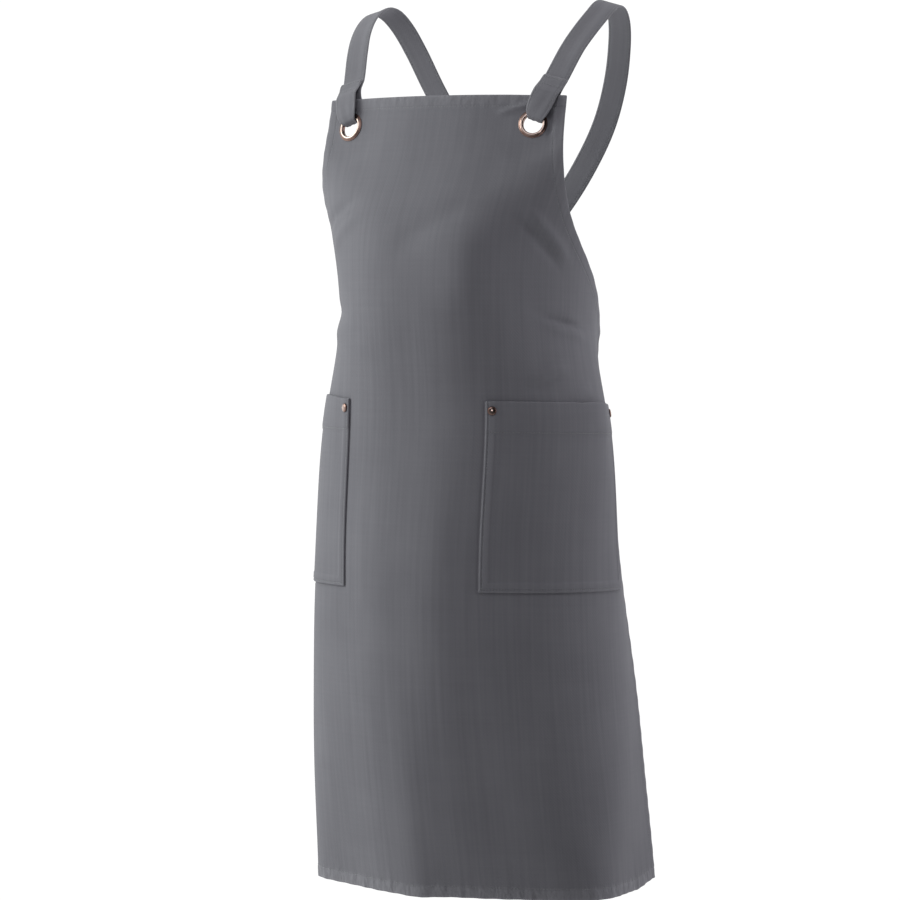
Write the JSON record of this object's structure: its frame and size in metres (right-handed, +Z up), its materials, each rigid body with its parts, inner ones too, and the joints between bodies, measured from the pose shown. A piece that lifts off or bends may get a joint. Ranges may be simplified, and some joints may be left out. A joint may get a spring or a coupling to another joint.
{
  "type": "bib apron",
  "caption": "Grey cotton bib apron in the form it takes when worn, with patch pockets, riveted corners and cross-back straps looped through eyelets.",
  "frame": {"origin": "midway between the two places where the straps rest on the wearer's shoulders, at the straps' underside", "axes": "+Z up, the front of the apron faces -Y, +X to the wearer's left"},
  "size_m": [0.3494, 0.3299, 0.9566],
  "materials": {
    "cloth": "matt mid-weight cotton canvas, charcoal grey",
    "strap": "matt folded cotton canvas, charcoal grey",
    "copper": "antique copper plate, polished on the high rims"
  },
  "bodies": {
    "root": {"panel": "cloth", "pocket_left": "cloth", "pocket_right": "cloth", "strap_left": "strap", "strap_right": "strap", "eyelet_left": "copper", "eyelet_right": "copper", "rivet_left_inner": "copper", "rivet_left_outer": "copper", "rivet_right_inner": "copper", "rivet_right_outer": "copper"}
  },
  "joints": []
}
